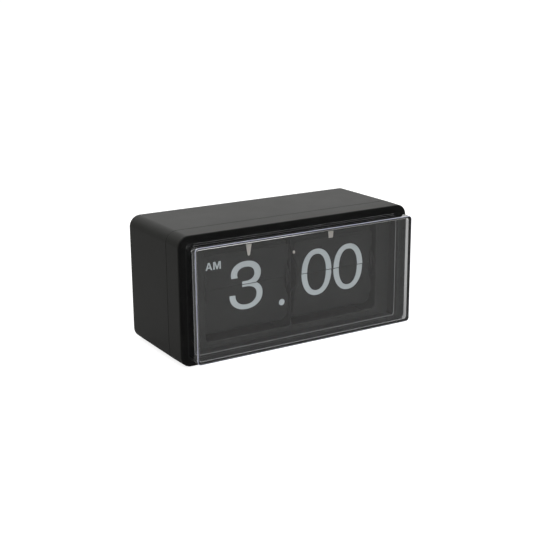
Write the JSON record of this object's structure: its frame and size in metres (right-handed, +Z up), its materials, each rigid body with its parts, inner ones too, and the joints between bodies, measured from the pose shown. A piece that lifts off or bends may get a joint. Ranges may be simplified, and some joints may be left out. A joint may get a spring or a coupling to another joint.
{
  "type": "flip number clock",
  "caption": "Battery desk flip clock: rounded black case, clear box cover over a dark dial with hour and minute leaf drums, gear train and rear battery hatch.",
  "frame": {"origin": "on the table under the middle of the clock, at the feet's underside", "axes": "+Z up, dial faces -Y, +X to the dial's right"},
  "size_m": [0.185, 0.0874, 0.09],
  "materials": {
    "case_black": "satin moulded black plastic",
    "dial_black": "matte black plastic",
    "leaf_black": "matte black printed plastic leaf",
    "clear_plastic": "clear polished acrylic",
    "cream_plastic": "cream moulded plastic",
    "frame_plastic": "near-black moulded plastic",
    "gear_plastic": "white acetal",
    "steel": "bright steel",
    "rubber": "black rubber",
    "battery_wrap": "plain printed shrink film",
    "circuit_board": "green laminate"
  },
  "bodies": {
    "case": {"battery": "battery_wrap", "battery_bay": "frame_plastic", "case_shell": "case_black", "centre_plate": "frame_plastic", "centre_stud": "cream_plastic", "clear_cover": "clear_plastic", "contact_plus": "steel", "contact_spring": "steel", "control_board": "circuit_board", "dial_panel": "dial_black", "finger_bar": "frame_plastic", "foot_front_left": "rubber", "foot_front_right": "rubber", "foot_rear_left": "rubber", "foot_rear_right": "rubber", "front_frame": "case_black", "hour_finger": "cream_plastic", "hour_leaf_pack": "leaf_black", "hour_lower_leaf": "leaf_black", "left_plate": "frame_plastic", "lower_tie_rod": "steel", "main_shaft": "steel", "minute_finger": "cream_plastic", "minute_leaf_pack": "leaf_black", "minute_lower_leaf": "leaf_black", "motor": "frame_plastic", "movement_tray": "frame_plastic", "rear_cover": "case_black", "rear_screw_1": "steel", "rear_screw_2": "steel", "rear_screw_3": "steel", "rear_screw_4": "steel", "right_plate": "frame_plastic", "upper_tie_rod": "steel"},
    "hour_drum": {"hour_drum": "frame_plastic", "hour_gear": "frame_plastic"},
    "minute_drum": {"minute_drum": "frame_plastic", "drum_pinion": "frame_plastic", "drive_gear": "frame_plastic"},
    "transfer": {"transfer_wheel": "gear_plastic", "transfer_pinion": "gear_plastic", "transfer_axle": "steel"},
    "idler": {"setting_idler": "gear_plastic", "idler_axle": "steel"},
    "thumbwheel": {"thumbwheel": "case_black", "thumbwheel_gear": "gear_plastic", "thumbwheel_axle": "steel"},
    "motor_pinion": {"motor_pinion": "gear_plastic", "motor_shaft": "steel"},
    "hour_leaf": {"hour_upper_leaf": "leaf_black"},
    "minute_leaf": {"minute_upper_leaf": "leaf_black"},
    "battery_door": {"battery_door": "case_black"}
  },
  "joints": [
    {"name": "minute_drum_turn", "type": "hinge", "parent": "case", "child": "minute_drum", "pos_m": [0, -0.00585, 0.0474], "axis": [1, 0, 0], "continuous": true},
    {"name": "hour_drum_turn", "type": "hinge", "parent": "case", "child": "hour_drum", "pos_m": [0, -0.00585, 0.0474], "axis": [1, 0, 0], "continuous": true},
    {"name": "transfer_turn", "type": "hinge", "parent": "case", "child": "transfer", "pos_m": [0, 0.00815, 0.0474], "axis": [1, 0, 0], "continuous": true},
    {"name": "idler_turn", "type": "hinge", "parent": "case", "child": "idler", "pos_m": [0, 0.01615, 0.0474], "axis": [1, 0, 0], "continuous": true},
    {"name": "thumbwheel_turn", "type": "hinge", "parent": "case", "child": "thumbwheel", "pos_m": [0, 0.03115, 0.0474], "axis": [1, 0, 0], "continuous": true},
    {"name": "motor_turn", "type": "hinge", "parent": "case", "child": "motor_pinion", "pos_m": [0, 0.00405, 0.0375], "axis": [1, 0, 0], "continuous": true},
    {"name": "hour_leaf_fall", "type": "hinge", "parent": "case", "child": "hour_leaf", "pos_m": [0, -0.01825, 0.0479], "axis": [1, 0, 0], "range_deg": [0, 179], "deforming": ["hour_finger"]},
    {"name": "minute_leaf_fall", "type": "hinge", "parent": "case", "child": "minute_leaf", "pos_m": [0, -0.01825, 0.0479], "axis": [1, 0, 0], "range_deg": [0, 179], "deforming": ["minute_finger"]},
    {"name": "battery_door_slide", "type": "slide", "parent": "case", "child": "battery_door", "axis": [0, 1, 0], "range_m": [0, 0.03]}
  ],
  "couplings": [
    {"joint": "transfer_turn", "follows": "minute_drum_turn", "ratio": -0.25},
    {"joint": "hour_drum_turn", "follows": "minute_drum_turn", "ratio": 0.041667},
    {"joint": "idler_turn", "follows": "minute_drum_turn", "ratio": -1.2},
    {"joint": "thumbwheel_turn", "follows": "minute_drum_turn", "ratio": 2.4},
    {"joint": "motor_turn", "follows": "minute_drum_turn", "ratio": -6}
  ]
}
